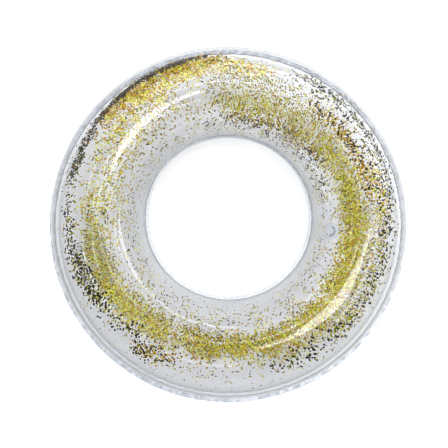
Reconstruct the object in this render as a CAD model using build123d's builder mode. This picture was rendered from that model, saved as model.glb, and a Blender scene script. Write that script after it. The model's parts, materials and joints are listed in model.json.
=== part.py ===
from build123d import *
import os
from math import asin, cos, degrees, radians, sin, sqrt

# An adult's glitter swim ring, pumped up and lying flat. Millimetres, +Z up along the ring's axis.
# The origin is on that axis, in the plane that the ring rests on.
# The tube is two sheets of clear film, welded face to face round the outer rim and round the hole.
# A place on the tube is given by its azimuth, round the ring's axis, and its tube angle, round the
# tube's own section: 0 is the outer rim, 90 the crown, 180 the rim of the hole, -90 the underside.

# Driving dimensions of the ring
outer_radius = 400.0
hole_radius = 180.0
outer_weld_width = 10.0
inner_weld_width = 8.0
film = 0.4
contact_depth = 0.6
weld_lap = 2.0
bead_width = 1.6
half_bead = 0.8

# Driving dimensions of the valve; heights are above the film, along the valve's axis
valve_azimuth = -12.2
valve_tube_angle = 138.0
flange_radius = 18.0
flange_hole = 10.0
flange_thickness = 0.8
film_hole = 11.0
boot_wall = 0.6
boot_rim_low = -2.0
boot_rim_high = -0.3
stem_low = -11.0
stem_mouth = 3.0
stem_radius = 6.0
stem_bore = 4.4
collar_radius = 7.2
collar_height = 1.4
lead_in = 0.3
seat_spigot = 1.5
seat_flange = 1.0
seat_bore = 3.2
flap_radius = 4.7
flap_thickness = 0.6
flap_hinge_reach = 5.8
flap_tab_width = 3.0
flap_gap = 0.1
rim_radius = 7.4
rim_height = 1.4
strap_width = 4.0
strap_thickness = 1.0
strap_ring_high = 1.4
strap_gap = 0.1
plug_hinge_reach = 10.2
plug_gap = 0.05
plug_head = 1.6
plug_tab_thickness = 0.7
pull_tab_reach = 10.5
nose_depth = 5.0
nose_top = 4.1
nose_tip = 3.2

# Clear label patch on the crown
patch_azimuth = 193.4
patch_sweep = 17.0
patch_from = 71.0
patch_to = 108.0
patch_film = 0.2

# Glitter flakes: six-sided, cut from foil
flake_radius = 1.4
flake_thickness = 0.1
golden_angle = 137.508

# Worked out from the driving dimensions
tube_outer = outer_radius - outer_weld_width
tube_inner = hole_radius + inner_weld_width
tube_radius = (tube_outer - tube_inner) / 2
circle_radius = (tube_outer + tube_inner) / 2
inside_radius = tube_radius - film
mid_height = tube_radius - contact_depth
half_weld = film
mid_plane = Plane.XY.offset(mid_height)


def section_plane(azimuth):
    """The upright plane through the ring's axis at this azimuth: x outwards, y up."""
    turn = radians(azimuth)
    return Plane(origin=(0, 0, 0), x_dir=(cos(turn), sin(turn), 0), z_dir=(sin(turn), -cos(turn), 0))


def film_plane(azimuth, tube_angle, height=0.0):
    """The plane that touches the tube there, raised by height: x round the ring, z out of the tube."""
    turn = radians(azimuth)
    lean = radians(tube_angle)
    reach = tube_radius + height
    radial = circle_radius + reach * cos(lean)
    origin = (radial * cos(turn), radial * sin(turn), mid_height + reach * sin(lean))
    outward = (cos(lean) * cos(turn), cos(lean) * sin(turn), sin(lean))
    return Plane(origin=origin, x_dir=(-sin(turn), cos(turn), 0), z_dir=outward)


def finish(builder, name):
    """Labels the piece and writes it to its own file."""
    builder.part.label = name
    export_step(builder.part, f"parts/{name}.step")


valve_plane = film_plane(valve_azimuth, valve_tube_angle)
valve_axis = Axis(valve_plane.origin, valve_plane.z_dir)
# x round the ring, y out along the valve's axis
valve_section = Plane(
    origin=valve_plane.origin,
    x_dir=valve_plane.x_dir,
    z_dir=valve_plane.x_dir.cross(valve_plane.z_dir),
)


# ---- the two film sheets -------------------------------------------------------------------------

def film_arc(radius, side):
    """One sheet's arc in the tube's section, from the outer weld to the inner one; side is +1 or -1."""
    start = degrees(asin(half_weld / radius))
    return CenterArc((circle_radius, mid_height), radius, side * start, side * (180 - 2 * start))


with BuildPart() as upper_wall:
    with BuildSketch(section_plane(0)):
        with BuildLine():
            outside = film_arc(tube_radius, 1)
            inside = film_arc(inside_radius, 1)
            Line(outside @ 0, inside @ 0)
            Line(outside @ 1, inside @ 1)
        make_face()
    revolve(axis=Axis.Z)
    # the hole that the valve passes through
    with BuildSketch(valve_plane):
        Circle(film_hole)
    extrude(amount=tube_radius / 10, both=True, mode=Mode.SUBTRACT)
finish(upper_wall, "upper_wall")

with BuildPart() as lower_wall:
    with BuildSketch(section_plane(0)):
        with BuildLine():
            outside = film_arc(tube_radius, -1)
            inside = film_arc(inside_radius, -1)
            Line(outside @ 0, inside @ 0)
            Line(outside @ 1, inside @ 1)
        make_face()
        # the underside presses flat where the ring stands, and the film keeps its thickness there
        with BuildLine():
            half_band = sqrt(tube_radius**2 - mid_height**2)
            Polyline(
                (circle_radius - half_band, -contact_depth),
                (circle_radius + half_band, -contact_depth),
                (circle_radius + half_band, film),
                (circle_radius - half_band, film),
                close=True,
            )
        make_face()
        with Locations((circle_radius, -contact_depth)):
            Rectangle(4 * half_band, contact_depth, align=(Align.CENTER, Align.MIN), mode=Mode.SUBTRACT)
    revolve(axis=Axis.Z)
finish(lower_wall, "lower_wall")


# ---- the two welds -------------------------------------------------------------------------------

def weld_ring(inside, outside, bead_inside, bead_outside):
    """A flat band round the ring at half height, where both sheets are fused, beaded at its free edge."""
    with BuildPart() as band:
        with BuildSketch(mid_plane):
            Circle(outside)
            Circle(inside, mode=Mode.SUBTRACT)
        extrude(amount=half_weld, both=True)
        with BuildSketch(mid_plane):
            Circle(bead_outside)
            Circle(bead_inside, mode=Mode.SUBTRACT)
        extrude(amount=half_bead, both=True)
    return band


outer_weld = weld_ring(tube_outer - weld_lap, outer_radius, outer_radius - bead_width, outer_radius)
finish(outer_weld, "outer_weld")
inner_weld = weld_ring(hole_radius, tube_inner + weld_lap, hole_radius, hole_radius + bead_width)
finish(inner_weld, "inner_weld")


# ---- a strip of film that follows the tube -------------------------------------------------------

def strip_section(azimuth, angle_from, angle_to, inside, outside):
    """The section, at one azimuth, of a shell between two radii of the tube."""
    with BuildSketch(section_plane(azimuth)) as section:
        with BuildLine():
            centre = (circle_radius, mid_height)
            low = CenterArc(centre, inside, angle_from, angle_to - angle_from)
            high = CenterArc(centre, outside, angle_from, angle_to - angle_from)
            Line(low @ 0, high @ 0)
            Line(low @ 1, high @ 1)
        make_face()
    return section.sketch


with BuildPart() as label_patch:
    patch_outside = tube_radius + patch_film
    patch_section = strip_section(patch_azimuth, patch_from, patch_to, tube_radius, patch_outside)
    revolve(patch_section, axis=Axis.Z, revolution_arc=patch_sweep)
finish(label_patch, "label_patch")


# ---- valve ---------------------------------------------------------------------------------------

def outline(*points):
    """A face in the valve's section; each point is a radius and a height."""
    with BuildSketch(valve_section) as section:
        with BuildLine():
            Polyline(*points, close=True)
        make_face()
    return section.sketch


# The flange is a disc of vinyl, welded to the inside of the film round the hole.
flange_reach = 12
with BuildPart() as valve_flange:
    flange_section = strip_section(
        valve_azimuth - flange_reach / 2,
        valve_tube_angle - flange_reach,
        valve_tube_angle + flange_reach,
        inside_radius - flange_thickness,
        inside_radius,
    )
    revolve(flange_section, axis=Axis.Z, revolution_arc=flange_reach)
    with BuildSketch(valve_plane):
        Circle(flange_radius)
        Circle(flange_hole, mode=Mode.SUBTRACT)
    extrude(amount=tube_radius / 10, both=True, mode=Mode.INTERSECT)
finish(valve_flange, "valve_flange")

# The boot is the thin cone that lets the stem be pushed in or pulled out.
collar_top = stem_low + collar_height
with BuildPart() as valve_boot:
    boot_outline = outline(
        (flange_hole, boot_rim_high),
        (flange_hole, boot_rim_low),
        (collar_radius + boot_wall, collar_top),
        (collar_radius, collar_top - boot_wall),
        (collar_radius, collar_top),
        (flange_hole - boot_wall, boot_rim_low),
        (flange_hole - boot_wall, boot_rim_high),
    )
    revolve(boot_outline, axis=valve_axis)
finish(valve_boot, "valve_boot")

with BuildPart() as valve_stem:
    stem_outline = outline(
        (stem_bore, stem_low),
        (collar_radius, stem_low),
        (collar_radius, collar_top),
        (stem_radius, collar_top),
        (stem_radius, stem_mouth - rim_height),
        (rim_radius - lead_in, stem_mouth - rim_height),
        (rim_radius, stem_mouth - rim_height + lead_in),
        (rim_radius, stem_mouth - lead_in),
        (rim_radius - lead_in, stem_mouth),
        (stem_bore + lead_in, stem_mouth),
        (stem_bore, stem_mouth - lead_in),
    )
    revolve(stem_outline, axis=valve_axis)
finish(valve_stem, "valve_stem")

# The flap's seat is a flanged ring pressed into the bottom of the stem, with a lug for the flap.
seat_low = stem_low - seat_flange
flap_high = seat_low - flap_gap
flap_low = flap_high - flap_thickness
with BuildPart() as flap_seat:
    seat_outline = outline(
        (seat_bore, seat_low),
        (collar_radius, seat_low),
        (collar_radius, stem_low),
        (stem_bore, stem_low),
        (stem_bore, stem_low + seat_spigot),
        (seat_bore + lead_in, stem_low + seat_spigot),
        (seat_bore, stem_low + seat_spigot - lead_in),
    )
    revolve(seat_outline, axis=valve_axis)
    with BuildSketch(valve_section):
        with Locations((flap_hinge_reach + flap_gap, flap_low)):
            Rectangle(
                collar_radius - flap_hinge_reach - 4 * flap_gap,
                seat_low - flap_low,
                align=(Align.MIN, Align.MIN),
            )
    extrude(amount=flap_tab_width / 2, both=True)
finish(flap_seat, "flap_seat")

# The flap is a soft disc that the air inside presses up against the seat.
with BuildPart() as check_flap:
    with BuildSketch(valve_plane.offset(flap_low)):
        Circle(flap_radius)
        Rectangle(flap_hinge_reach, flap_tab_width, align=(Align.MIN, Align.CENTER))
    extrude(amount=flap_thickness)
finish(check_flap, "check_flap")

# The tether is a ring that grips the stem under its rim, and an upright strap for the plug's hinge.
ring_low = strap_ring_high - strap_thickness
with BuildPart() as plug_tether:
    tether_outline = outline(
        (stem_radius, ring_low),
        (rim_radius, ring_low),
        (rim_radius, strap_ring_high),
        (stem_radius, strap_ring_high),
    )
    revolve(tether_outline, axis=valve_axis)
    with BuildSketch(valve_section):
        with BuildLine():
            Polyline(
                (stem_radius + lead_in, ring_low),
                (plug_hinge_reach, ring_low),
                (plug_hinge_reach, stem_mouth - strap_gap),
                (plug_hinge_reach - strap_thickness, stem_mouth - strap_gap),
                (plug_hinge_reach - strap_thickness, strap_ring_high),
                (stem_radius + lead_in, strap_ring_high),
                close=True,
            )
        make_face()
    extrude(amount=strap_width / 2, both=True)
finish(plug_tether, "plug_tether")

# The plug closes the mouth: a tapered nose, a head, a hinge tab on one side, a pull tab on the other.
head_low = stem_mouth + plug_gap
nose_top_low = head_low - lead_in
with BuildPart() as valve_plug:
    plug_outline = outline(
        (0, head_low + plug_head),
        (rim_radius - lead_in, head_low + plug_head),
        (rim_radius, head_low + plug_head - lead_in),
        (rim_radius, head_low),
        (nose_top, head_low),
        (nose_top, nose_top_low),
        (nose_tip, stem_mouth - nose_depth),
        (0, stem_mouth - nose_depth),
    )
    revolve(plug_outline, axis=valve_axis)
    with BuildSketch(valve_plane.offset(head_low)):
        with Locations((-pull_tab_reach, 0)):
            Rectangle(pull_tab_reach + plug_hinge_reach, strap_width, align=(Align.MIN, Align.CENTER))
    extrude(amount=plug_tab_thickness)
finish(valve_plug, "valve_plug")


# ---- glitter -------------------------------------------------------------------------------------

def flakes(count, azimuth_from, azimuth_span, angle_middle, angle_spread, lift):
    """Loose six-sided flakes against the inside of the film, scattered over one stretch of tube."""
    planes = []
    for index in range(count):
        azimuth = azimuth_from + azimuth_span * (index * golden_angle % 360) / 360
        tube_angle = angle_middle + angle_spread * sin(radians(index * golden_angle * 7))
        plane = film_plane(azimuth, tube_angle, -film - lift - flake_thickness)
        planes.append(plane * Rotation(0, 0, index * golden_angle))
    with BuildPart() as group:
        with BuildSketch(*planes):
            RegularPolygon(flake_radius, 6)
        extrude(amount=flake_thickness)
    return group


# Flakes that cling to the upper sheet, flakes that cling to the lower one on both sides of the
# underside, and the drift that slides along the bottom of the tube.
cling = 0.05
upper_glitter = flakes(60, 0, 360, 85, 38, cling)
finish(upper_glitter, "upper_glitter")
lower_glitter = flakes(60, 0, 360, -48, 26, cling)
finish(lower_glitter, "lower_glitter")
drift_lift = 1.1
loose_glitter = flakes(80, 0, 360, -82, 15, drift_lift)
finish(loose_glitter, "loose_glitter")

print("tube circle", circle_radius, "tube radius", tube_radius, "mid height", mid_height)
print("valve origin", valve_plane.origin, "axis", valve_plane.z_dir, "x", valve_plane.x_dir)
print("plug hinge", valve_section.from_local_coords((plug_hinge_reach, stem_mouth)))
print("flap hinge", valve_section.from_local_coords((flap_hinge_reach, flap_low)))
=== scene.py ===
import json
import math

import bpy
import numpy as np
from mathutils import Matrix, Vector


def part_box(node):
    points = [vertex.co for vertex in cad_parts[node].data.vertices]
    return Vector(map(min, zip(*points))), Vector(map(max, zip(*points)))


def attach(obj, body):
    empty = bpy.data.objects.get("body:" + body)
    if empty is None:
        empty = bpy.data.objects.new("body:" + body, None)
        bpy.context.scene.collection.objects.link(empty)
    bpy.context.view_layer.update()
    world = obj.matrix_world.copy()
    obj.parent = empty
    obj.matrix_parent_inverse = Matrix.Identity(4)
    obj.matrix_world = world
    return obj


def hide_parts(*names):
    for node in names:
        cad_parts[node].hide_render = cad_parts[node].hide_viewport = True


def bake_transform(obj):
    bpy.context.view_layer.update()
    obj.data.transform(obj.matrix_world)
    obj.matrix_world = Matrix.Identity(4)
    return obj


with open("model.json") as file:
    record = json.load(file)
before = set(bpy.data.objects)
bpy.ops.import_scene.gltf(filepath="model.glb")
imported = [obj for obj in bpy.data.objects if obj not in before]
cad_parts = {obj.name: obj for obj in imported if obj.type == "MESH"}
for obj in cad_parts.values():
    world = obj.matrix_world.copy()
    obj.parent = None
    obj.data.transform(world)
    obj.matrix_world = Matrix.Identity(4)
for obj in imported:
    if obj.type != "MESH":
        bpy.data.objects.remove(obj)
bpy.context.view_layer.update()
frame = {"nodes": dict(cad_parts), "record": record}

# A clear inflated swim ring with loose glitter in it, lying on a pale floor. Metres, +Z up.
# A place on the film is given by its azimuth, round the ring's axis, and its arc, the distance along
# the film from the outer weld, over or under the tube, to the weld round the hole.

MM = 0.001
TURN = 2 * math.pi
rng = np.random.default_rng(41)

# ---------------------------------------------------------------- sizes from the frame

RECORD = frame["record"]
MOUNTS = {m["name"]: m for m in RECORD["mounts"]}
JOINTS = {j["name"]: j for j in RECORD["behaviour"]["joints"]}

HOLE_RADIUS = MOUNTS["swimmer_opening"]["dims"]["r_mm"] * MM
WELD_HEIGHT = MOUNTS["swimmer_opening"]["pos_m"][2]
TUBE_CIRCLE = MOUNTS["resting_band"]["pos_m"][0]
OUTER_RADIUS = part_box("outer_weld")[1].x
TUBE_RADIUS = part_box("upper_wall")[1].z - WELD_HEIGHT
WALL_EDGE = TUBE_CIRCLE + TUBE_RADIUS
ARC = math.pi * TUBE_RADIUS
FILM = 0.4 * MM

flange_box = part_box("valve_flange")
VALVE = (flange_box[0] + flange_box[1]) / 2
VALVE_AXIS = Vector(JOINTS["stem_slide"]["axis"]).normalized()
VALVE_X = Vector((0, 0, 1)).cross(VALVE_AXIS).normalized()
VALVE_Y = VALVE_AXIS.cross(VALVE_X)
VALVE_REACH = VALVE.xy.length
VALVE_AZIMUTH = math.atan2(VALVE.y, VALVE.x)
VALVE_ARC = math.atan2(VALVE.z - WELD_HEIGHT, VALVE_REACH - TUBE_CIRCLE) * TUBE_RADIUS
VALVE_HOLE = 11 * MM


# ---------------------------------------------------------------- meshes

def piece(name, verts, faces, material, body, slot, nodes=(), smooth=True):
    """A mesh piece made of these points and faces, riding on a body and standing for CAD nodes."""
    mesh = bpy.data.meshes.new(name)
    mesh.from_pydata(np.asarray(verts).tolist(), [], [list(map(int, f)) for f in faces])
    mesh.validate()
    if smooth:
        mesh.shade_smooth()
    else:
        mesh.shade_flat()
    obj = bpy.data.objects.new(name, mesh)
    bpy.context.scene.collection.objects.link(obj)
    obj.data.materials.append(material)
    if body:
        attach(obj, body)
    if nodes:
        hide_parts(*nodes)
    return obj


def ring_faces(around, across, closed_across=False):
    """Quads of a grid of points, closed the long way round; the points run across first."""
    i, j = np.meshgrid(np.arange(around), np.arange(across if closed_across else across - 1),
                       indexing="ij")
    i2, j2 = (i + 1) % around, (j + 1) % across
    return np.stack([i * across + j, i2 * across + j, i2 * across + j2, i * across + j2], -1)


def thicken(obj, thickness):
    """Gives a sheet its thickness, on the side that its faces turn their backs to."""
    solid = obj.modifiers.new("film", "SOLIDIFY")
    solid.thickness = thickness
    solid.offset = -1
    solid.use_even_offset = False


# ---------------------------------------------------------------- the film's shape

# puckers that run in from the outer weld; depths, lengths and the weld's sway in mm
CREASES = 112
CREASE_JITTER = 0.3
CREASE_DEPTHS = (0.6, 4.2)
CREASE_LENGTHS = (16, 48)
CREASE_LEAN = 0.25
MOST_SWAY = 1.6
CREASE_WIDTH = 3.6 * MM
CREASE_SHARP = 0.7 * MM
CREASE_RISE = 7 * MM
CREASE_FADE = 1.5
SWAY_WIDTH = 9 * MM
SWAY_REACH = 14 * MM

# how the wall leaves its two welds, the line pinched in beside the outer one, and the film's slack
FLARE = 1.2 * MM
PINCH = 5.0 * MM
PINCH_ARC = 9 * MM
SLACK = 0.25 * MM

even = (np.arange(CREASES) + 0.5) * TURN / CREASES
crease_at = even + rng.uniform(-CREASE_JITTER, CREASE_JITTER, CREASES) * TURN / CREASES
crease_depth = {
    +1: rng.uniform(*CREASE_DEPTHS, CREASES) * MM,
    -1: rng.uniform(*CREASE_DEPTHS, CREASES) * MM,
}
crease_length = rng.uniform(*CREASE_LENGTHS, CREASES) * MM
crease_lean = rng.uniform(-CREASE_LEAN, CREASE_LEAN, CREASES)
weld_sway = rng.uniform(-MOST_SWAY, MOST_SWAY, CREASES) * MM


def wrapped(angle):
    """The same angle between minus and plus half a turn."""
    return (angle + math.pi) % TURN - math.pi


def from_creases(azimuth, arc):
    """Distance round the rim from each crease's line to each point."""
    line = crease_at + crease_lean * arc[..., None] / WALL_EDGE
    return wrapped(azimuth[..., None] - line) * WALL_EDGE


def sway(azimuth, reach):
    """Height of the outer weld's wave; reach is how far out from the wall's edge a point is."""
    across = wrapped(azimuth[..., None] - crease_at) * WALL_EDGE
    wave = (weld_sway * np.exp(-(across / SWAY_WIDTH) ** 2)).sum(-1)
    return wave * np.clip((reach + SWAY_REACH) / (2 * SWAY_REACH), 0, 1) ** 2


def film_points(azimuth, arc, side, inset=0.0):
    """Points arc metres from the outer weld on the film (side +1 upper, -1 lower), inset metres in."""
    azimuth, arc = np.broadcast_arrays(np.asarray(azimuth, float), np.asarray(arc, float))
    across = from_creases(azimuth, arc)
    near = np.exp(-np.sqrt(across ** 2 + CREASE_SHARP ** 2) / CREASE_WIDTH)
    fade = np.clip(1 - arc[..., None] / crease_length, 0, 1) ** CREASE_FADE
    rise = np.clip(arc[..., None] / CREASE_RISE, 0, 1)
    drawn_in = (crease_depth[side] * near * fade * rise).sum(-1)
    drawn_in = drawn_in + PINCH * arc / PINCH_ARC * np.exp(1 - arc / PINCH_ARC)
    # two long waves, on the upper wall only, that die out at the welds
    slack = SLACK * (np.sin(7 * azimuth + 2 * arc / TUBE_RADIUS)
                     + np.sin(13 * azimuth - 3 * arc / TUBE_RADIUS + side))
    slack = slack * np.sin(np.clip(arc / ARC, 0, 1) * math.pi) * (side > 0)
    angle = arc / TUBE_RADIUS
    depth = TUBE_RADIUS - drawn_in + slack - inset
    flare = FLARE * (np.exp(-arc / FLARE) - np.exp(-(ARC - arc) / FLARE))
    radius = TUBE_CIRCLE + depth * np.cos(angle) + flare
    height = WELD_HEIGHT + side * depth * np.sin(angle) + sway(azimuth, -arc)
    return np.stack([radius * np.cos(azimuth), radius * np.sin(azimuth), height], -1)


# ---------------------------------------------------------------- the two walls

AROUND = 1200
EDGE_GAP = 0.4 * MM
CREASED = 60 * MM
HOLE_EDGE = 24 * MM
# rows of points are closest together where the creases are, and again beside the hole's weld
WALL_ROWS = np.concatenate([
    EDGE_GAP + CREASED * np.linspace(0, 1, 16, endpoint=False) ** 1.4,
    np.linspace(CREASED, ARC - HOLE_EDGE, 19, endpoint=False),
    ARC - HOLE_EDGE + (HOLE_EDGE - EDGE_GAP) * np.linspace(0, 1, 4) ** 0.8,
])
# the block rebuilt round the valve reaches this many hole radii each way, in this many rings
VALVE_CLEARING = 1.75
RIM_STEPS = 6


def block_round_valve():
    """The columns of the wall's grid, and the first and last row, that enclose the valve."""
    clear = VALVE_CLEARING * VALVE_HOLE
    middle = int(round(VALVE_AZIMUTH / TURN * AROUND)) % AROUND
    half = int(math.ceil(clear / (VALVE_REACH * TURN / AROUND)))
    columns = [(middle + k) % AROUND for k in range(-half, half + 1)]
    low = np.searchsorted(WALL_ROWS, VALVE_ARC - clear) - 1
    high = np.searchsorted(WALL_ROWS, VALVE_ARC + clear)
    return columns, low, high


def valve_rim(points):
    """Azimuth and arc of the points on the edge of the valve's round hole that face these points."""
    around = points - np.array(VALVE)
    turn = np.arctan2(around @ np.array(VALVE_Y), around @ np.array(VALVE_X))
    rim = (np.array(VALVE) + VALVE_HOLE * (np.cos(turn)[:, None] * np.array(VALVE_X)
                                           + np.sin(turn)[:, None] * np.array(VALVE_Y)))
    reach = np.hypot(rim[:, 0], rim[:, 1]) - TUBE_CIRCLE
    arc = TUBE_RADIUS * np.arctan2(rim[:, 2] - WELD_HEIGHT, reach)
    return np.arctan2(rim[:, 1], rim[:, 0]), arc


def open_for_valve(grid, quads):
    """Takes a block of quads out of the upper wall and closes it again up to a round hole."""
    columns, low, high = block_round_valve()
    cut = np.zeros(quads.shape[:2], bool)
    cut[columns[:-1], low:high] = True
    loop = ([(c, low) for c in columns]
            + [(columns[-1], r) for r in range(low + 1, high + 1)]
            + [(c, high) for c in columns[-2::-1]]
            + [(columns[0], r) for r in range(high - 1, low, -1)])
    outline = np.array([c * len(WALL_ROWS) + r for c, r in loop])
    edge_az = np.arctan2(grid[outline, 1], grid[outline, 0])
    edge_arc = np.array([WALL_ROWS[r] for _, r in loop])
    rim_az, rim_arc = valve_rim(grid[outline])
    points, faces, before = [grid], [quads[~cut]], outline
    for k in range(1, RIM_STEPS + 1):
        t = k / RIM_STEPS
        az = edge_az + wrapped(rim_az - edge_az) * t
        start = sum(len(p) for p in points)
        ids = np.arange(start, start + len(outline))
        points.append(film_points(az, edge_arc + (rim_arc - edge_arc) * t, +1))
        faces.append(np.stack([before, np.roll(before, -1), np.roll(ids, -1), ids], -1))
        before = ids
    return np.concatenate(points), np.concatenate(faces)


def wall(side):
    """Points and faces of one film wall; the upper one has a round hole for the valve."""
    azimuths = np.arange(AROUND) * TURN / AROUND
    grid = film_points(azimuths[:, None], WALL_ROWS[None, :], side).reshape(-1, 3)
    quads = ring_faces(AROUND, len(WALL_ROWS))
    if side < 0:
        return grid, quads.reshape(-1, 4)[:, ::-1]
    return open_for_valve(grid, quads)


# ---------------------------------------------------------------- the welds

WELD_STEPS = 1500
# the welds' joined edges in mm; each laps the end of the wall
OUTER_WELD_FROM = 388.6
HOLE_WELD_FROM = 189.4
OUTER_WELD_WIDTH = 10 * MM
PULL = 0.7 * MM
PULL_WIDTH = 4 * MM
# the section of a weld in mm: its half thickness, its pressed ribs and the room that its bead takes
WELD_HALF = 0.4
WELD_LEAD = 0.6
RIB_MARGIN = 1.2
RIB_FOOT = 0.42
RIB_TOP = 0.12
RIB_HEIGHT = 0.16
BEAD_SPACE = 3.2
BEAD_HALF = 0.75
# the bead's outline in mm: how far in from the free edge, and half the thickness there
BEAD = [
    (1.7, WELD_HALF), (1.3, BEAD_HALF * 0.9), (0.7, BEAD_HALF), (0.15, BEAD_HALF * 0.55), (0, 0.12),
]


def weld_section(joined, free, ribs):
    """A flat weld's closed section in mm, from its joined edge to a bead on its free edge."""
    out = 1 if free > joined else -1
    top = [(joined, WELD_HALF * 0.6), (joined + out * WELD_LEAD, WELD_HALF)]
    span = abs(free - joined) - BEAD_SPACE
    for k in range(ribs):
        at = joined + out * (RIB_MARGIN + span * (k + 0.5) / ribs)
        top += [(at - out * RIB_FOOT, WELD_HALF), (at - out * RIB_TOP, WELD_HALF + RIB_HEIGHT),
                (at + out * RIB_TOP, WELD_HALF + RIB_HEIGHT), (at + out * RIB_FOOT, WELD_HALF)]
    top += [(free - out * inward, half) for inward, half in BEAD]
    loop = top + [(r, -z) for r, z in reversed(top)]
    return loop if out > 0 else loop[::-1]


def weld_band(section, azimuths, wavy):
    """A band with this section all the way round; a wavy one sways and is drawn in at the creases."""
    section = np.array(section) * MM
    az = azimuths[:, None]
    radius = section[None, :, 0] + 0 * az
    height = WELD_HEIGHT + section[None, :, 1] + 0 * az
    if wavy:
        height = height + sway(az + 0 * radius, radius - WALL_EDGE)
        across = wrapped(az[..., None] - crease_at) * WALL_EDGE
        near = np.exp(-(across / PULL_WIDTH) ** 2)
        pull = (PULL * near * np.abs(weld_sway) / (MOST_SWAY * MM)).sum(-1)
        radius = radius - pull * np.clip((radius - WALL_EDGE) / OUTER_WELD_WIDTH, 0, 1)
    points = np.stack([radius * np.cos(az), radius * np.sin(az), height], -1)
    faces = ring_faces(len(azimuths), len(section), True)
    return points.reshape(-1, 3), faces.reshape(-1, 4)[:, ::-1]


# ---------------------------------------------------------------- materials

def new_material(name):
    """An empty node material, with its nodes and links."""
    material = bpy.data.materials.new(name)
    material.use_nodes = True
    nodes = material.node_tree.nodes
    nodes.clear()
    return material, nodes, material.node_tree.links


def two_tone(nodes, low, high):
    """A colour ramp between two colours."""
    ramp = nodes.new("ShaderNodeValToRGB")
    ramp.color_ramp.elements[0].color = (*low, 1)
    ramp.color_ramp.elements[1].color = (*high, 1)
    return ramp


def bump_from(nodes, links, scale, strength, distance, detail=2):
    """A noise fixed to the piece, and the bump that it makes."""
    place = nodes.new("ShaderNodeTexCoord")
    noise = nodes.new("ShaderNodeTexNoise")
    noise.inputs["Scale"].default_value = scale
    noise.inputs["Detail"].default_value = detail
    bump = nodes.new("ShaderNodeBump")
    bump.inputs["Strength"].default_value = strength
    bump.inputs["Distance"].default_value = distance
    links.new(place.outputs["Object"], noise.inputs["Vector"])
    links.new(noise.outputs["Fac"], bump.inputs["Height"])
    return bump, noise


# a thin film mirrors 4% head on, and all of it at a grazing angle
HEAD_ON = 0.04
GRAZING_POWER = 5
# the part of the noise's range over which the haze goes from least to most
HAZE_NOISE = (0.4, 0.66)


def film_mirror(nodes, links, weight):
    """How much a thin film mirrors, by how far it turns away."""
    graze = nodes.new("ShaderNodeMath")
    graze.operation = "POWER"
    graze.inputs[1].default_value = GRAZING_POWER
    mirrored = nodes.new("ShaderNodeMath")
    mirrored.operation = "MULTIPLY_ADD"
    mirrored.inputs[1].default_value = 1 - HEAD_ON
    mirrored.inputs[2].default_value = HEAD_ON
    links.new(weight.outputs["Facing"], graze.inputs[0])
    links.new(graze.outputs["Value"], mirrored.inputs[0])
    return mirrored


def film_material(name, clear, edge, haze, haze_colour, roughness, scale, strength, distance):
    """Clear vinyl: see-through with a faint tint that deepens at its edges, haze and gloss."""
    material, nodes, links = new_material(name)
    bump, noise = bump_from(nodes, links, scale, strength, distance)
    weight = nodes.new("ShaderNodeLayerWeight")
    weight.inputs["Blend"].default_value = 0.5
    tint = two_tone(nodes, clear, edge)
    see = nodes.new("ShaderNodeBsdfTransparent")
    body = nodes.new("ShaderNodeBsdfPrincipled")
    body.inputs["Base Color"].default_value = (*haze_colour, 1)
    body.inputs["Roughness"].default_value = 0.35
    haze_range = nodes.new("ShaderNodeMapRange")
    haze_range.inputs["From Min"].default_value = HAZE_NOISE[0]
    haze_range.inputs["From Max"].default_value = HAZE_NOISE[1]
    haze_range.inputs["To Min"].default_value = haze[0]
    haze_range.inputs["To Max"].default_value = haze[1]
    milky = nodes.new("ShaderNodeMixShader")
    gloss = nodes.new("ShaderNodeBsdfGlossy")
    gloss.inputs["Roughness"].default_value = roughness
    mirrored = film_mirror(nodes, links, weight)
    shine = nodes.new("ShaderNodeMixShader")
    out = nodes.new("ShaderNodeOutputMaterial")
    links.new(weight.outputs["Facing"], tint.inputs["Fac"])
    links.new(tint.outputs["Color"], see.inputs["Color"])
    links.new(noise.outputs["Fac"], haze_range.inputs["Value"])
    links.new(haze_range.outputs["Result"], milky.inputs["Fac"])
    links.new(see.outputs["BSDF"], milky.inputs[1])
    links.new(body.outputs["BSDF"], milky.inputs[2])
    for node in (gloss, body, weight):
        links.new(bump.outputs["Normal"], node.inputs["Normal"])
    links.new(mirrored.outputs["Value"], shine.inputs["Fac"])
    links.new(milky.outputs["Shader"], shine.inputs[1])
    links.new(gloss.outputs["BSDF"], shine.inputs[2])
    links.new(shine.outputs["Shader"], out.inputs["Surface"])
    return material


# the flakes' colours by tone: near black (painted shade: gold flakes that mirror nothing bright), brown,
# copper, gold, olive, green, lime, pale yellow (painted glint: flakes under a highlight)
FLAKE_COLOURS = [
    (0.0, (0.010, 0.009, 0.005)),
    (0.15, (0.050, 0.034, 0.006)),
    (0.30, (0.50, 0.24, 0.010)),
    (0.45, (0.56, 0.40, 0.008)),
    (0.60, (0.38, 0.37, 0.006)),
    (0.72, (0.045, 0.060, 0.005)),
    (0.86, (0.68, 0.68, 0.025)),
    (1.0, (1.0, 0.95, 0.34)),
]


def glitter_material():
    """Metallised flakes, each in its own tone; the near-black tone is painted shade and the pale yellow
    one a painted glint.
    """
    material, nodes, links = new_material("glitter_flakes")
    tone = nodes.new("ShaderNodeAttribute")
    tone.attribute_name = "tone"
    ramp = nodes.new("ShaderNodeValToRGB")
    elements = ramp.color_ramp.elements
    while len(elements) < len(FLAKE_COLOURS):
        elements.new(0.5)
    for element, (at, colour) in zip(elements, FLAKE_COLOURS):
        element.position = at
        element.color = (*colour, 1)
    body = nodes.new("ShaderNodeBsdfPrincipled")
    body.inputs["Metallic"].default_value = 0.1
    body.inputs["Roughness"].default_value = 0.35
    body.inputs["Specular IOR Level"].default_value = 0.18
    out = nodes.new("ShaderNodeOutputMaterial")
    links.new(tone.outputs["Fac"], ramp.inputs["Fac"])
    links.new(ramp.outputs["Color"], body.inputs["Base Color"])
    links.new(body.outputs["BSDF"], out.inputs["Surface"])
    return material


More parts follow.
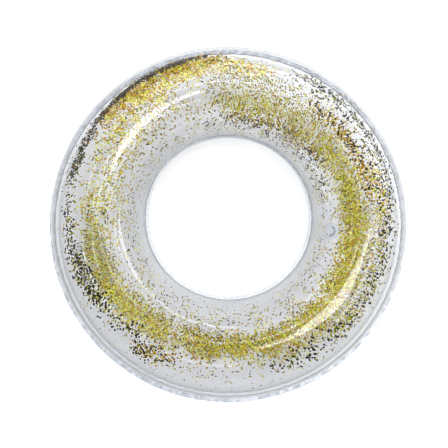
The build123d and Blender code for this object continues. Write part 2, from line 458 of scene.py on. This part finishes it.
def vinyl_material(name, low, high, clear):
    """Soft moulded vinyl, slightly see-through and slightly uneven."""
    material, nodes, links = new_material(name)
    bump, noise = bump_from(nodes, links, scale=260, strength=0.12, distance=0.2 * MM, detail=3)
    ramp = two_tone(nodes, low, high)
    body = nodes.new("ShaderNodeBsdfPrincipled")
    body.inputs["Roughness"].default_value = 0.28
    body.inputs["Subsurface Weight"].default_value = 0.15
    body.inputs["Subsurface Scale"].default_value = 2 * MM
    see = nodes.new("ShaderNodeBsdfTransparent")
    mix = nodes.new("ShaderNodeMixShader")
    mix.inputs["Fac"].default_value = clear
    out = nodes.new("ShaderNodeOutputMaterial")
    links.new(noise.outputs["Fac"], ramp.inputs["Fac"])
    links.new(ramp.outputs["Color"], body.inputs["Base Color"])
    links.new(bump.outputs["Normal"], body.inputs["Normal"])
    links.new(body.outputs["BSDF"], mix.inputs[1])
    links.new(see.outputs["BSDF"], mix.inputs[2])
    links.new(mix.outputs["Shader"], out.inputs["Surface"])
    return material


clear_film = film_material(
    "clear_film", clear=(0.966, 0.967, 0.970), edge=(0.84, 0.85, 0.87), haze=(0.001, 0.006),
    haze_colour=(0.82, 0.83, 0.86), roughness=0.09, scale=38, strength=0.06, distance=0.4 * MM)
welded_film = film_material(
    "welded_film", clear=(0.86, 0.88, 0.91), edge=(0.78, 0.80, 0.84), haze=(0.0, 0.30),
    haze_colour=(0.34, 0.37, 0.42), roughness=0.15, scale=75, strength=0.3, distance=0.3 * MM)
hole_weld_film = film_material(
    "hole_weld_film", clear=(0.92, 0.93, 0.945), edge=(0.84, 0.86, 0.88), haze=(0.0, 0.12),
    haze_colour=(0.70, 0.73, 0.78), roughness=0.12, scale=240, strength=0.3, distance=0.2 * MM)
patch_film = film_material(
    "patch_film", clear=(0.965, 0.968, 0.974), edge=(0.93, 0.935, 0.945), haze=(0.0, 0.02),
    haze_colour=(0.82, 0.83, 0.86), roughness=0.07, scale=60, strength=0.05, distance=0.2 * MM)
# a darker, hazy film for the patch's outline: painted shade along the label patch's edge
patch_edge_shade = film_material(
    "patch_edge_shade", clear=(0.86, 0.87, 0.88), edge=(0.70, 0.71, 0.73), haze=(0.35, 0.55),
    haze_colour=(0.30, 0.31, 0.32), roughness=0.2, scale=300, strength=0.2, distance=0.1 * MM)
boot_film = film_material(
    "boot_film", clear=(0.88, 0.89, 0.91), edge=(0.72, 0.74, 0.78), haze=(0.15, 0.25),
    haze_colour=(0.74, 0.76, 0.80), roughness=0.15, scale=300, strength=0.2, distance=0.15 * MM)
valve_vinyl = vinyl_material("valve_vinyl", (0.62, 0.645, 0.68), (0.72, 0.745, 0.78), 0.55)
flap_vinyl = vinyl_material("flap_vinyl", (0.60, 0.62, 0.66), (0.70, 0.72, 0.76), 0.45)
flakes_finish = glitter_material()

# ---------------------------------------------------------------- the ring

for side, node in ((+1, "upper_wall"), (-1, "lower_wall")):
    points, quads = wall(side)
    film = piece(node.replace("wall", "film"), points, quads, clear_film, "ring", "clear_film",
                 [node])
    thicken(film, FILM)

weld_azimuths = np.arange(WELD_STEPS) * TURN / WELD_STEPS
outer_section = weld_section(OUTER_WELD_FROM, OUTER_RADIUS / MM, 4)
piece("outer_seam", *weld_band(outer_section, weld_azimuths, True), welded_film, "ring",
      "welded_film", ["outer_weld"])
hole_section = weld_section(HOLE_WELD_FROM, HOLE_RADIUS / MM, 3)
piece("inner_seam", *weld_band(hole_section, weld_azimuths[::2], False), hole_weld_film, "ring",
      "welded_film", ["inner_weld"])

# ---------------------------------------------------------------- the label patch

LABEL_AZIMUTHS = (math.radians(193.4), math.radians(210.4))
LABEL_ARCS = (math.radians(71) * TUBE_RADIUS, math.radians(108) * TUBE_RADIUS)
LABEL_AZ = sum(LABEL_AZIMUTHS) / 2
LABEL_ARC = sum(LABEL_ARCS) / 2
LABEL_WIDE = (LABEL_AZIMUTHS[1] - LABEL_AZIMUTHS[0]) / 2 * TUBE_CIRCLE
LABEL_TALL = (LABEL_ARCS[1] - LABEL_ARCS[0]) / 2
LABEL_CORNER = 6 * MM
LABEL_COLUMNS, LABEL_ROWS = 40, 34
LABEL_PROUD = 0.25 * MM
LABEL_FILM = 0.2 * MM
OUTLINE_MARGIN = 2 * MM
OUTLINE_WIDTH = 0.9 * MM
OUTLINE_PROUD = 0.45 * MM
OUTLINE_THICKNESS = 0.1 * MM
OUTLINE_CUT = 3 * MM
CORNER_STEPS = 14


def on_label(x, y, proud):
    """Points this far round and along the upper film from the label's middle, standing proud of it."""
    return film_points(LABEL_AZ + x / TUBE_CIRCLE, LABEL_ARC + y, +1, -proud)


def label():
    """A blank patch with rounded corners."""
    x, y = np.meshgrid(np.linspace(-1, 1, LABEL_COLUMNS), np.linspace(-1, 1, LABEL_ROWS),
                       indexing="ij")
    px, py = x * LABEL_WIDE, y * LABEL_TALL
    over = np.maximum(np.abs(py) - (LABEL_TALL - LABEL_CORNER), 0)
    limit = LABEL_WIDE - LABEL_CORNER + np.sqrt(np.maximum(LABEL_CORNER ** 2 - over ** 2, 0))
    px = px * limit / LABEL_WIDE
    faces = [(i * LABEL_ROWS + j, (i + 1) * LABEL_ROWS + j,
              (i + 1) * LABEL_ROWS + j + 1, i * LABEL_ROWS + j + 1)
             for i in range(LABEL_COLUMNS - 1) for j in range(LABEL_ROWS - 1)]
    return on_label(px, py, LABEL_PROUD).reshape(-1, 3), faces


def label_border():
    """A thin raised rounded line just inside the patch's edge, darker than the patch: painted shade
    along the patch's edge.
    """
    wide, tall = LABEL_WIDE - OUTLINE_MARGIN, LABEL_TALL - OUTLINE_MARGIN
    pairs = []
    for quarter, (cx, cy) in enumerate(((1, 1), (-1, 1), (-1, -1), (1, -1))):
        for k in range(CORNER_STEPS):
            a = (quarter + k / (CORNER_STEPS - 1)) * math.pi / 2
            pairs.append([(cx * (wide - LABEL_CORNER) + r * math.cos(a),
                           cy * (tall - LABEL_CORNER) + r * math.sin(a))
                          for r in (LABEL_CORNER, LABEL_CORNER - OUTLINE_WIDTH)])
    pairs = np.array(pairs)
    # the straight runs are cut finely enough to follow the tube
    runs = []
    for i, pair in enumerate(pairs):
        after = pairs[(i + 1) % len(pairs)]
        cuts = max(1, int(np.linalg.norm(after[0] - pair[0]) / OUTLINE_CUT))
        runs += [pair + (after - pair) * k / cuts for k in range(cuts)]
    line = np.array(runs).reshape(-1, 2)
    points = on_label(line[:, 0], line[:, 1], OUTLINE_PROUD)
    return points, ring_faces(len(runs), 2).reshape(-1, 4)


patch = piece("blank_label", *label(), patch_film, "ring", "label_film", ["label_patch"])
thicken(patch, LABEL_FILM)
outline = piece("label_outline", *label_border(), patch_edge_shade, "ring", "label_film",
                ["label_patch"])
thicken(outline, OUTLINE_THICKNESS)

# ---------------------------------------------------------------- the valve

# the boot's pleats from the flange in to the stem's collar: radius and height in mm
BOOT_PLEATS = [
    (10.6, -0.4), (10.0, -0.9), (9.9, -1.8), (9.2, -2.8), (9.3, -3.8), (8.6, -4.9), (8.7, -5.9),
    (8.1, -7.0), (8.1, -8.0), (7.6, -8.9), (7.45, -9.8),
]
BOOT_WALL = 0.3
BOOT_TURNS = 96
BOOT_MIDDLE = VALVE + VALVE_AXIS * 0.4 * MM


def boot():
    """The valve's soft boot: a pleated cone from the flange down to the stem's collar."""
    loop = BOOT_PLEATS + [(r - BOOT_WALL, h) for r, h in reversed(BOOT_PLEATS)]
    points = []
    for k in range(BOOT_TURNS):
        a = TURN * k / BOOT_TURNS
        out = VALVE_X * math.cos(a) + VALVE_Y * math.sin(a)
        points += [tuple(BOOT_MIDDLE + out * r * MM + VALVE_AXIS * h * MM) for r, h in loop]
    return points, ring_faces(BOOT_TURNS, len(loop), True).reshape(-1, 4)


soft_boot = piece("soft_boot", *boot(), boot_film, None, "valve_vinyl", ["valve_boot"])
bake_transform(soft_boot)

for node, finish in (("valve_flange", valve_vinyl), ("valve_stem", valve_vinyl),
                     ("flap_seat", valve_vinyl), ("check_flap", flap_vinyl),
                     ("plug_tether", valve_vinyl), ("valve_plug", valve_vinyl)):
    obj = frame["nodes"][node]
    obj.data.materials.clear()
    obj.data.materials.append(finish)

# ---------------------------------------------------------------- glitter

# tone of a flake by family: middle and spread on the material's scale
# the black family is painted shade on the flakes, and the pale family a painted glint
TONES = {
    "black": (0.01, 0.02), "brown": (0.15, 0.04), "copper": (0.32, 0.04), "gold": (0.45, 0.04),
    "olive": (0.60, 0.03), "green": (0.72, 0.02), "lime": (0.86, 0.03), "pale": (0.98, 0.03),
}

# Each drift of flakes: azimuth from and to, tube angle from and to (all in degrees, the tube angle
# from the outer weld), spread across it in mm, candidates, and the families of tones in it.
# An earlier drift in a list takes its places first.
# black flakes in these drifts are painted shade where flakes mirror nothing bright; pale flakes are
# painted glints where a highlight falls
LOOSE = [
    (174, 202, 60, 64, 16, 1000, "olive gold green lime"),
    (190, 236, 64, 78, 16, 4900, "olive lime gold pale green lime gold"),
    (226, 262, 81, 83, 17, 2700, "olive gold green gold lime brown"),
    (254, 318, 83, 81, 14, 5900, "olive olive gold green lime green gold"),
    # the extra lime and pale flakes in the right band paint the highlight that falls across it
    (310, 362, 77, 75, 17, 7700, "olive gold lime gold lime pale gold green"),
    (-2, 34, 74, 75, 18, 2700, "olive gold lime pale lime green"),
    (30, 92, 70, 74, 22, 2900, "olive gold lime gold green lime olive"),
    (92, 182, 66, 84, 28, 900, "gold olive copper lime green"),
]
LOWER = [
    (262, 348, 82, 75, 10, 4500, "olive gold lime green copper"),
    (330, 380, 74, 72, 11, 2700, "gold copper olive lime gold pale lime"),
    (192, 214, 62, 66, 8, 600, "olive lime gold green"),
    (312, 362, 40, 46, 14, 2000, "brown olive green gold lime"),
    (0, 95, 44, 40, 16, 1300, "olive gold green lime"),
    (284, 316, 62, 56, 10, 800, "olive gold green"),
    (0, 360, 60, 60, 40, 2400, "olive gold green brown lime"),
    (0, 360, 118, 122, 20, 1700, "brown olive gold green lime"),
    (35, 88, 92, 96, 10, 1300, "black brown gold black copper olive"),
    (15, 100, 112, 108, 16, 450, "black brown green"),
]
UPPER = [
    (103, 139, 65, 66, 3.2, 2800, "black black black brown"),
    (98, 140, 72, 75, 9, 8400, "gold brown copper gold brown olive copper green"),
    (100, 130, 84, 86, 8, 1500, "gold olive lime pale copper"),
    (76, 104, 84, 79, 10, 1200, "gold olive pale copper green"),
    (136, 166, 67, 69, 6, 900, "black black brown green"),
    (164, 212, 66, 72, 8, 420, "black brown green olive"),
    (116, 150, 92, 92, 15, 900, "gold copper olive pale lime green"),
    (0, 360, 106, 106, 44, 2500, "olive gold green brown lime"),
    (120, 190, 90, 112, 24, 1000, "olive gold green lime"),
    (0, 65, 67, 67, 10, 420, "black brown green"),
    (196, 216, 70, 78, 10, 700, "black black green olive"),
    (212, 238, 70, 82, 10, 260, "black green olive"),
    (236, 250, 66, 76, 9, 420, "black brown copper olive"),
    (285, 420, 69, 74, 12, 1200, "black black green olive"),
    (-6, 18, 78, 82, 9, 400, "brown olive brown gold"),
    (6, 50, 92, 97, 7, 650, "brown black copper gold brown"),
]

# waves of uneven cover: the way each runs, its radians per metre and its start
PATCH_WAVES = 14
PATCH_PITCH = (70, 260)
PATCHY = [(rng.uniform(0, TURN), rng.uniform(*PATCH_PITCH), rng.uniform(0, TURN))
          for _ in range(PATCH_WAVES)]
PATCH_SOFTNESS = 6
THIN_COVER = 0.3
# clusters of copper and lime flakes: how much finer than the cover, how full, and where
CLUSTER_SCALE = 2.3
CLUSTER_STRENGTH = 1.1
COPPER_ABOVE = 0.55
LIME_BELOW = 0.45
# a drift's ragged ends in degrees: this share of its length, up to the most
RAGGED_SHARE = 0.13
MOST_RAGGED = 4

# flakes: half their size in mm, how much larger the black ones are, and the foil's half thickness
FLAKE_SIZES = (1.6, 2.0)
BLACK_BELOW = 0.1
BLACK_LARGER = 1.3
FOIL_HALF = 0.04 * MM
# how much flakes tip off the film: the spread of each group, and the most of all
CLINGING_TILT = math.radians(7)
LOOSE_TILT = math.radians(13)
MOST_TILT = math.radians(60)
# how far off the film they lie, how close to each other, and how far from welds and valve
CLINGING_LIFT = 0.05 * MM
LOOSE_LIFT = 1.1 * MM
LOOSE_PILE = 2.5 * MM
UPPER_GAP = 1.65 * MM
LOWER_GAP = 2.0 * MM
LOOSE_GAP = 1.8 * MM
OUTER_MARGIN = 4 * MM
HOLE_MARGIN = 5 * MM
VALVE_MARGIN = 15 * MM
BOTTOM = (math.radians(45) * TUBE_RADIUS, math.radians(125) * TUBE_RADIUS)


def patchiness(x, y):
    """Uneven cover, from 0 to 1, out of waves a few centimetres long."""
    total = sum(np.sin((x * math.cos(d) + y * math.sin(d)) * k + p) for d, k, p in PATCHY)
    return np.clip(0.5 + total / PATCH_SOFTNESS, 0, 1)


def spaced(x, y, gap):
    """True for each point that keeps this gap from the ones kept before it."""
    cells, keep = {}, np.zeros(len(x), bool)
    for i, (px, py) in enumerate(zip(x.tolist(), y.tolist())):
        cx, cy = int(px // gap), int(py // gap)
        near = (cells.get((cx + a, cy + b), ()) for a in (-1, 0, 1) for b in (-1, 0, 1))
        if all((px - qx) ** 2 + (py - qy) ** 2 > gap * gap for cell in near for qx, qy in cell):
            cells.setdefault((cx, cy), []).append((px, py))
            keep[i] = True
    return keep


def flake_tones(families, az, arc):
    """A tone for each flake by family; where none is black, copper and lime ones gather in clusters."""
    names = families.split() + ["copper", "lime"]
    picked = rng.integers(0, len(names) - 2, len(az))
    if "black" not in names:
        clusters = patchiness(CLUSTER_SCALE * az * TUBE_CIRCLE + 1, CLUSTER_SCALE * arc)
        turned = rng.uniform(0, 1, len(az))
        picked[turned < CLUSTER_STRENGTH * (clusters - COPPER_ABOVE)] = len(names) - 2
        picked[turned < CLUSTER_STRENGTH * (LIME_BELOW - clusters)] = len(names) - 1
    middle = np.array([TONES[n][0] for n in names])[picked]
    width = np.array([TONES[n][1] for n in names])[picked]
    return np.clip(rng.normal(middle, width), 0, 1)


def candidates(az0, az1, angle0, angle1, spread, count, families):
    """Azimuth, arc and tone of the flakes that one drift offers."""
    along = rng.uniform(0, 1, count)
    ragged = min(MOST_RAGGED, RAGGED_SHARE * (az1 - az0))
    az = np.radians(az0 + (az1 - az0) * along + rng.normal(0, ragged, count))
    arc = (np.radians(angle0 + (angle1 - angle0) * along) * TUBE_RADIUS
           + rng.normal(0, spread * MM, count))
    tone = flake_tones(families, az, arc)
    cover = THIN_COVER + (1 - THIN_COVER) * patchiness(az * TUBE_CIRCLE, arc)
    stays = rng.uniform(0, 1, count) < cover
    return az[stays], arc[stays], tone[stays]


def scatter(rows, allowed, gap):
    """Azimuth, arc and tone of the flakes of all these drifts, where they may lie and aren't crowded."""
    az, arc, tone = map(np.concatenate, zip(*(candidates(*row) for row in rows)))
    keep = allowed(az, arc)
    az, arc, tone = az[keep], arc[keep], tone[keep]
    reach = TUBE_CIRCLE + TUBE_RADIUS * np.cos(arc / TUBE_RADIUS)
    keep = spaced((az % TURN) * reach, arc, gap)
    return az[keep], arc[keep], tone[keep]


def unit(vectors):
    """The same directions, each one unit long."""
    return vectors / np.linalg.norm(vectors, axis=1, keepdims=True)


def laid_on(az, arc, side, height):
    """The place of each flake inside the film, and the film's two directions and normal there."""
    step = 0.5 * MM
    centre = film_points(az, arc, side, height)
    along = unit(film_points(az + step / TUBE_CIRCLE, arc, side, height) - centre)
    up = film_points(az, arc + step, side, height) - centre
    normal = unit(np.cross(along, up))
    return centre, along, np.cross(normal, along), normal


def hexagons(centre, u, v, normal, size):
    """Thin six-sided flakes, each of 12 points and 8 faces."""
    corners = []
    for layer in (-FOIL_HALF, FOIL_HALF):
        for k in range(6):
            c, s = math.cos(k * TURN / 6), math.sin(k * TURN / 6)
            corners.append(centre + size[:, None] * (c * u + s * v) + layer * normal)
    faces = []
    for b in range(0, 12 * len(centre), 12):
        faces.append((b + 5, b + 4, b + 3, b + 2, b + 1, b))
        faces.append((b + 6, b + 7, b + 8, b + 9, b + 10, b + 11))
        faces += [(b + k, b + (k + 1) % 6, b + 6 + (k + 1) % 6, b + 6 + k) for k in range(6)]
    return np.stack(corners, 1).reshape(-1, 3), faces


def flakes(name, rows, side, node, body, lift, pile, tilt_spread, gap, allowed):
    """A group of flakes inside one wall, lifted off it and piled up by these heights."""
    az, arc, tone = scatter(rows, allowed, gap)
    count = len(az)
    tilt = np.minimum(np.abs(rng.normal(0, tilt_spread, count)), MOST_TILT)
    size = rng.uniform(*FLAKE_SIZES, count) * np.where(tone < BLACK_BELOW, BLACK_LARGER, 1) * MM
    height = FILM + lift + size * np.sin(tilt) + rng.uniform(0, 1, count) ** 2 * pile
    centre, along, up, normal = laid_on(az, arc, side, height)
    spin = rng.uniform(0, TURN, count)[:, None]
    lean = tilt[:, None]
    u = np.cos(spin) * along + np.sin(spin) * up
    v = np.cross(normal, u)
    tipped = np.cos(lean) * v + np.sin(lean) * normal
    normal = np.cos(lean) * normal - np.sin(lean) * v
    verts, faces = hexagons(centre, u, tipped, normal, size)
    obj = piece(name, verts, faces, flakes_finish, body, "glitter", [node], smooth=False)
    layer = obj.data.attributes.new("tone", "FLOAT", "FACE")
    layer.data.foreach_set("value", np.repeat(tone, 8).astype(np.float32))


def off_the_welds(az, arc):
    return (arc > OUTER_MARGIN) & (arc < ARC - HOLE_MARGIN)


def off_the_valve(az, arc):
    x = wrapped(az - VALVE_AZIMUTH) * VALVE_REACH
    return (np.hypot(x, arc - VALVE_ARC) > VALVE_MARGIN) & off_the_welds(az, arc)


def on_the_bottom(az, arc):
    return (arc > BOTTOM[0]) & (arc < BOTTOM[1])


flakes("clinging_glitter_upper", UPPER, +1, "upper_glitter", "ring", CLINGING_LIFT, 0,
       CLINGING_TILT, UPPER_GAP, off_the_valve)
flakes("clinging_glitter_lower", LOWER, -1, "lower_glitter", "ring", CLINGING_LIFT, 0,
       CLINGING_TILT, LOWER_GAP, off_the_welds)
flakes("loose_glitter_drift", LOOSE, -1, "loose_glitter", "drift", LOOSE_LIFT, LOOSE_PILE,
       LOOSE_TILT, LOOSE_GAP, on_the_bottom)

# ---------------------------------------------------------------- floor, lights and camera

BACKDROP = (0.93, 0.94, 0.95, 1)
FLOOR_HALF = 40
FLOOR_DROP = 0.8 * MM
# the floor turns into the backdrop between these distances from the middle
FLOOR_FADE = (0.9, 2.2)


def floor_material():
    """A matt pale floor that fades into the backdrop's even light further out."""
    material, nodes, links = new_material("pale_floor")
    body = nodes.new("ShaderNodeBsdfPrincipled")
    body.inputs["Roughness"].default_value = 0.9
    body.inputs["Specular IOR Level"].default_value = 0.1
    noise = nodes.new("ShaderNodeTexNoise")
    noise.inputs["Scale"].default_value = 3
    ramp = two_tone(nodes, (0.93, 0.93, 0.935), (0.95, 0.95, 0.95))
    backdrop = nodes.new("ShaderNodeEmission")
    backdrop.inputs["Color"].default_value = BACKDROP
    place = nodes.new("ShaderNodeTexCoord")
    reach = nodes.new("ShaderNodeVectorMath")
    reach.operation = "LENGTH"
    fade = nodes.new("ShaderNodeMapRange")
    fade.interpolation_type = "SMOOTHSTEP"
    fade.inputs["From Min"].default_value = FLOOR_FADE[0]
    fade.inputs["From Max"].default_value = FLOOR_FADE[1]
    mix = nodes.new("ShaderNodeMixShader")
    out = nodes.new("ShaderNodeOutputMaterial")
    links.new(noise.outputs["Fac"], ramp.inputs["Fac"])
    links.new(ramp.outputs["Color"], body.inputs["Base Color"])
    links.new(place.outputs["Object"], reach.inputs[0])
    links.new(reach.outputs["Value"], fade.inputs["Value"])
    links.new(fade.outputs["Result"], mix.inputs["Fac"])
    links.new(body.outputs["BSDF"], mix.inputs[1])
    links.new(backdrop.outputs["Emission"], mix.inputs[2])
    links.new(mix.outputs["Shader"], out.inputs["Surface"])
    return material


floor_corners = [(x * FLOOR_HALF, y * FLOOR_HALF, 0) for x, y in ((-1, -1), (1, -1), (1, 1), (-1, 1))]
floor = piece("floor", floor_corners, [(0, 1, 2, 3)], floor_material(), None, None)
floor.location.z = -FLOOR_DROP

LIGHT_HEIGHT = 2.0
# name, x, y, width, depth, brightness in a reflection, turn in degrees; each faces straight down
LIGHTS = [
    ("softbox_back", 0.0, 1.47, 3.2, 0.95, 0.35, 0),
    ("strip_back", 1.05, 1.37, 2.6, 0.15, 5.5, -24.5),
    ("strip_back_left", -0.62, 1.04, 1.1, 0.08, 5.0, -8),
    ("softbox_back_right", 1.4, 1.0, 0.9, 0.9, 0.3, 0),
    ("strip_far_back", 0.9, 2.48, 2.1, 0.65, 3.2, 0),
    ("strip_far_right", 2.8, 1.85, 2.1, 1.2, 5.0, -37),
    ("pane_front", 0.45, -0.06, 0.55, 0.50, 7.5, 0),
    ("pane_front_right", 0.85, 0.18, 0.3, 0.18, 2.5, 0),
    ("strip_top", -0.05, 0.45, 0.42, 0.07, 4.0, -40),
    ("strip_top_left", -0.44, 0.18, 0.55, 0.06, 3.0, 43),
    ("strip_front_left", -0.9, -0.74, 0.85, 0.18, 2.2, -8),
    ("pane_right", 1.25, -0.3, 0.34, 1.2, 3.0, 0),
    ("softbox_left", -0.78, 0.5, 0.3, 0.12, 3.0, 30),
    ("strip_left", -1.42, -0.26, 0.12, 0.45, 4.0, 0),
]


def softbox(name, x, y, width, depth, radiance, turn, height=LIGHT_HEIGHT):
    """A rectangular light facing straight down, with the brightness it shows in a reflection."""
    light = bpy.data.lights.new(name, "AREA")
    light.shape = "RECTANGLE"
    light.size = width
    light.size_y = depth
    light.energy = radiance * math.pi * width * depth
    obj = bpy.data.objects.new(name, light)
    obj.location = (x, y, height)
    obj.rotation_euler = (0, 0, math.radians(turn))
    bpy.context.scene.collection.objects.link(obj)
    return obj


def studio_world():
    """Pale walls low down, darker towards the ceiling."""
    world = bpy.data.worlds.new("studio")
    world.use_nodes = True
    nodes, links = world.node_tree.nodes, world.node_tree.links
    place = nodes.new("ShaderNodeTexCoord")
    split = nodes.new("ShaderNodeSeparateXYZ")
    walls = nodes.new("ShaderNodeValToRGB")
    walls.color_ramp.elements[0].position = 0.12
    walls.color_ramp.elements[0].color = BACKDROP
    walls.color_ramp.elements[1].position = 0.55
    walls.color_ramp.elements[1].color = (0.10, 0.10, 0.105, 1)
    links.new(place.outputs["Generated"], split.inputs["Vector"])
    links.new(split.outputs["Z"], walls.inputs["Fac"])
    links.new(walls.outputs["Color"], nodes["Background"].inputs["Color"])
    return world


# the camera looks down at the ring, leaning a little to its front and left
DISTANCE = 0.9
LEAN_BACK = 0.165
LEAN_LEFT = 0.0212
AIM = Vector((-0.01085, -0.0207, WELD_HEIGHT))
LENS = 32.17


def add_camera():
    """The camera, with the ring's +Y upwards in its picture."""
    eye = Vector((-DISTANCE * math.sin(LEAN_LEFT),
                  -DISTANCE * math.sin(LEAN_BACK) * math.cos(LEAN_LEFT),
                  WELD_HEIGHT + DISTANCE * math.cos(LEAN_BACK) * math.cos(LEAN_LEFT)))
    camera = bpy.data.cameras.new("camera")
    camera.lens = LENS
    camera.sensor_width = 36
    obj = bpy.data.objects.new("camera", camera)
    bpy.context.scene.collection.objects.link(obj)
    back = (eye - AIM).normalized()
    up = (Vector((0, 1, 0)) - back * back.y).normalized()
    turned = Matrix((up.cross(back), up, back)).transposed().to_4x4()
    obj.matrix_world = Matrix.Translation(eye) @ turned
    bpy.context.scene.camera = obj


for row in LIGHTS:
    softbox(*row)
# a wide light that no gloss mirrors
fill = softbox("overhead_fill", 0.2, 0.4, 3.2, 3.2, 2.7, 0, height=2.4)
fill.visible_glossy = False
bpy.context.scene.world = studio_world()
add_camera()

bpy.context.scene.view_settings.view_transform = "Standard"
bpy.context.scene.cycles.transparent_max_bounces = 48
bpy.context.scene.cycles.filter_width = 1.0
